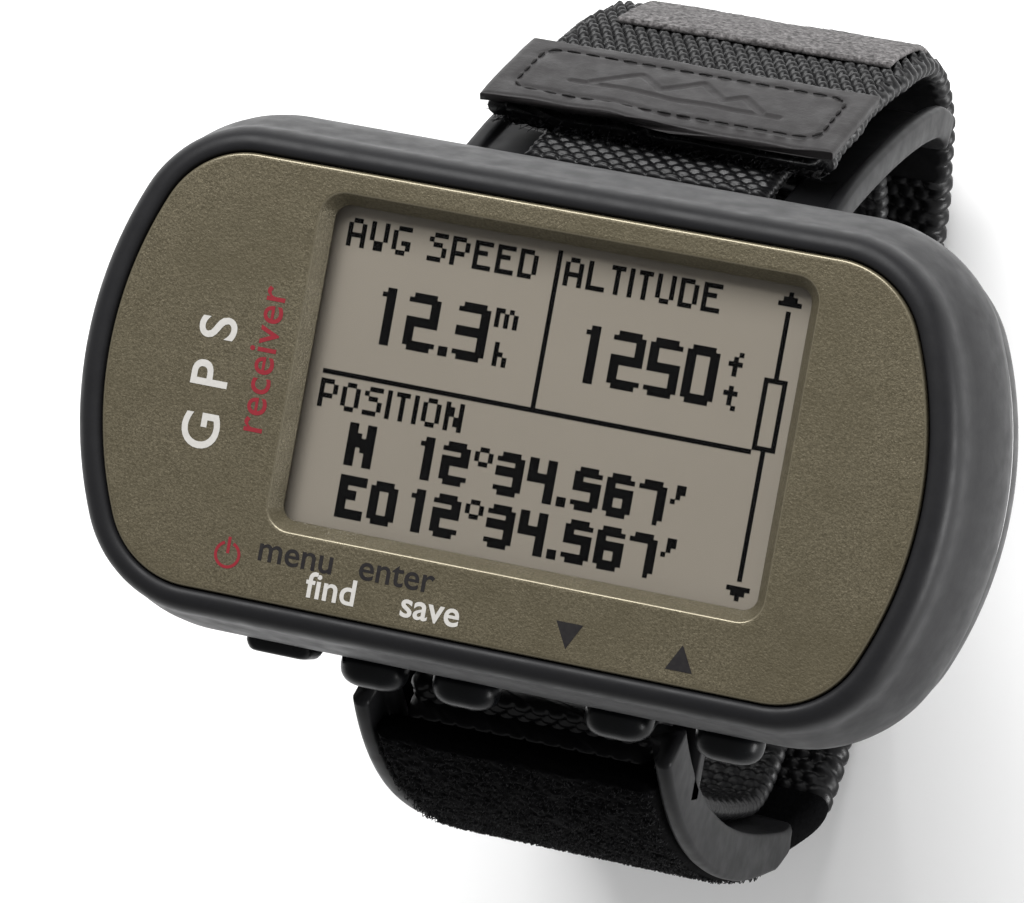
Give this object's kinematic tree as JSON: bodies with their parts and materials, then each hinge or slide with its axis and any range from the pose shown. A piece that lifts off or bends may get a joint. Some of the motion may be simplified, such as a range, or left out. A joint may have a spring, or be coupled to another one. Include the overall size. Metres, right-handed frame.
{
  "type": "handheld gps unit",
  "caption": "Wrist-worn GPS receiver with rubber-edged case, side keys and a rear battery door, on a closed hook-and-loop strap, lying display up on the strap loop.",
  "frame": {"origin": "middle of the object's box, on the surface that the closed strap loop rests on", "axes": "+X along the case to the right of the display, +Y towards the top of the display, +Z out of the display"},
  "size_m": [0.072, 0.07, 0.071],
  "materials": {
    "olive_paint": "satin metallic",
    "soft_rubber": "soft matt",
    "grey_moulding": "satin",
    "dark_moulding": "satin",
    "window": "clear",
    "lcd_glass": "satin",
    "light_guide": "frosted",
    "circuit_board": "solder mask",
    "tinned_steel": "satin",
    "ceramic": "matt",
    "black_part": "matt",
    "gasket_rubber": "matt",
    "screw_steel": "satin",
    "cell_wrap": "satin wrap",
    "ring_steel": "polished",
    "key_rubber": "satin",
    "wing_plastic": "satin",
    "nylon_webbing": "coarse woven",
    "loop_pile": "fuzzy pile",
    "grey_suede": "napped",
    "hook_tape": "hook pile",
    "tab_leather": "fine grain"
  },
  "bodies": {
    "case": {"face_panel": "olive_paint", "front_bezel": "soft_rubber", "front_case": "grey_moulding", "display_window": "window", "lcd_module": "lcd_glass", "backlight_guide": "light_guide", "lcd_frame": "black_part", "main_board": "circuit_board", "key_board": "circuit_board", "tact_switches": "tinned_steel", "shield_can": "tinned_steel", "gps_antenna": "ceramic", "buzzer": "black_part", "pressure_sensor": "tinned_steel", "usb_socket": "tinned_steel", "board_screws": "screw_steel", "case_gasket": "gasket_rubber", "rear_case": "dark_moulding", "case_screws": "screw_steel", "battery_left": "cell_wrap", "battery_right": "cell_wrap", "spring_contacts": "tinned_steel", "plate_contacts": "tinned_steel", "upper_wing": "wing_plastic", "lower_wing": "wing_plastic", "wing_screws": "screw_steel", "strap_webbing": "nylon_webbing", "pile_band": "loop_pile", "suede_panel": "grey_suede"},
    "power_button": {"key_power": "key_rubber"},
    "page_button": {"key_page": "key_rubber"},
    "enter_button": {"key_enter": "key_rubber"},
    "down_button": {"key_down": "key_rubber"},
    "up_button": {"key_up": "key_rubber"},
    "door": {"battery_door": "dark_moulding", "door_gasket": "gasket_rubber"},
    "screw": {"door_screw": "screw_steel"},
    "ring": {"d_ring": "ring_steel"},
    "cap": {"usb_cap": "soft_rubber"},
    "tail": {"strap_tail": "nylon_webbing", "hook_patch": "hook_tape", "end_tab": "tab_leather"}
  },
  "joints": [
    {"name": "power_press", "type": "slide", "parent": "case", "child": "power_button", "axis": [0, 1, 0], "range_m": [0, 0.0005], "stiffness_N_per_m": 600},
    {"name": "page_press", "type": "slide", "parent": "case", "child": "page_button", "axis": [0, 1, 0], "range_m": [0, 0.0005], "stiffness_N_per_m": 600},
    {"name": "enter_press", "type": "slide", "parent": "case", "child": "enter_button", "axis": [0, 1, 0], "range_m": [0, 0.0005], "stiffness_N_per_m": 600},
    {"name": "down_press", "type": "slide", "parent": "case", "child": "down_button", "axis": [0, 1, 0], "range_m": [0, 0.0005], "stiffness_N_per_m": 600},
    {"name": "up_press", "type": "slide", "parent": "case", "child": "up_button", "axis": [0, 1, 0], "range_m": [0, 0.0005], "stiffness_N_per_m": 600},
    {"name": "door_lift", "type": "slide", "parent": "case", "child": "door", "axis": [0, 0, -1], "range_m": [0, 0.012]},
    {"name": "screw_turn", "type": "hinge", "parent": "door", "child": "screw", "pos_m": [0.0278, 0, 0.048], "axis": [0, 0, -1], "range_deg": [0, 90]},
    {"name": "ring_flip", "type": "hinge", "parent": "screw", "child": "ring", "pos_m": [0.0278, 0, 0.0472], "axis": [0, -1, 0], "range_deg": [0, 90]},
    {"name": "cap_open", "type": "hinge", "parent": "case", "child": "cap", "pos_m": [-0.0289, 0.0065, 0.048], "axis": [1, 0, 0], "range_deg": [0, 110]},
    {"name": "tail_peel", "type": "hinge", "parent": "case", "child": "tail", "pos_m": [0, 0.0319, 0.0272], "axis": [-1, 0, 0], "range_deg": [0, 60]}
  ]
}
